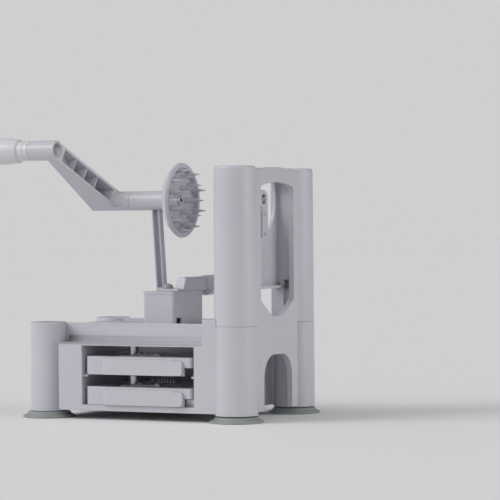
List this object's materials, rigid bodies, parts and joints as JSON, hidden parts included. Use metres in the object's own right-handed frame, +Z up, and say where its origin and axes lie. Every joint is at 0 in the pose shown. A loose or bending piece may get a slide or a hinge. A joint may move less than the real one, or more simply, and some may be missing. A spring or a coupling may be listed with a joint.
{
  "type": "spiral slicer",
  "caption": "Hand-cranked spiral slicer: moulded base on suction feet, blade tower, sliding carriage with crank and spiked wheel, stored blade cassettes.",
  "frame": {"origin": "middle of the ground that the whole object covers at rest, on the worktop", "axes": "+X from the crank to the blade tower, +Y to the far side, +Z up; the storage window is on -Y"},
  "size_m": [0.2774, 0.1736, 0.2441],
  "materials": {
    "white_plastic": "glossy injection-moulded white",
    "foot_rubber": "translucent grey-green soft rubber",
    "grey_cap": "dark grey satin",
    "steel": "bright stainless"
  },
  "bodies": {
    "frame": {"base_shell": "white_plastic", "front_far_foot": "foot_rubber", "front_near_foot": "foot_rubber", "rear_far_foot": "foot_rubber", "rear_near_foot": "foot_rubber", "tower": "white_plastic", "tower_screws": "steel"},
    "carriage": {"carriage": "white_plastic", "carriage_retainer": "white_plastic", "handle_screw": "grey_cap", "post_screw": "steel", "push_handle": "white_plastic", "retainer_screw": "steel", "upright_post": "white_plastic"},
    "spindle": {"crank_arm": "white_plastic", "knob_pin": "steel", "spiked_wheel": "white_plastic", "spindle_shaft": "steel", "wheel_screw": "steel"},
    "knob": {"knob_cap": "white_plastic", "knob_grip": "white_plastic"},
    "tower_cassette": {"tower_cassette_blade": "steel", "tower_cassette_comb": "steel", "tower_cassette_corer": "steel", "tower_cassette_frame": "white_plastic", "tower_cassette_screws": "steel"},
    "upper_cassette": {"upper_cassette_blade": "steel", "upper_cassette_corer": "steel", "upper_cassette_frame": "white_plastic", "upper_cassette_screws": "steel"},
    "lower_cassette": {"lower_cassette_blade": "steel", "lower_cassette_comb": "steel", "lower_cassette_corer": "steel", "lower_cassette_frame": "white_plastic", "lower_cassette_screws": "steel"}
  },
  "joints": [
    {"name": "carriage_slide", "type": "slide", "parent": "frame", "child": "carriage", "axis": [1, 0, 0], "range_m": [-0.055, 0.045]},
    {"name": "spindle_spin", "type": "hinge", "parent": "carriage", "child": "spindle", "pos_m": [0.02465, -0.00525, 0.1885], "axis": [1, 0, 0], "continuous": true},
    {"name": "knob_spin", "type": "hinge", "parent": "spindle", "child": "knob", "pos_m": [-0.09535, -0.0672, 0.23253], "axis": [1, 0, 0], "continuous": true},
    {"name": "tower_cassette_lift", "type": "slide", "parent": "frame", "child": "tower_cassette", "axis": [0, 0, 1], "range_m": [0, 0.11]},
    {"name": "upper_cassette_draw", "type": "slide", "parent": "frame", "child": "upper_cassette", "axis": [0, -1, 0], "range_m": [0, 0.095]},
    {"name": "lower_cassette_draw", "type": "slide", "parent": "frame", "child": "lower_cassette", "axis": [0, -1, 0], "range_m": [0, 0.095]}
  ]
}
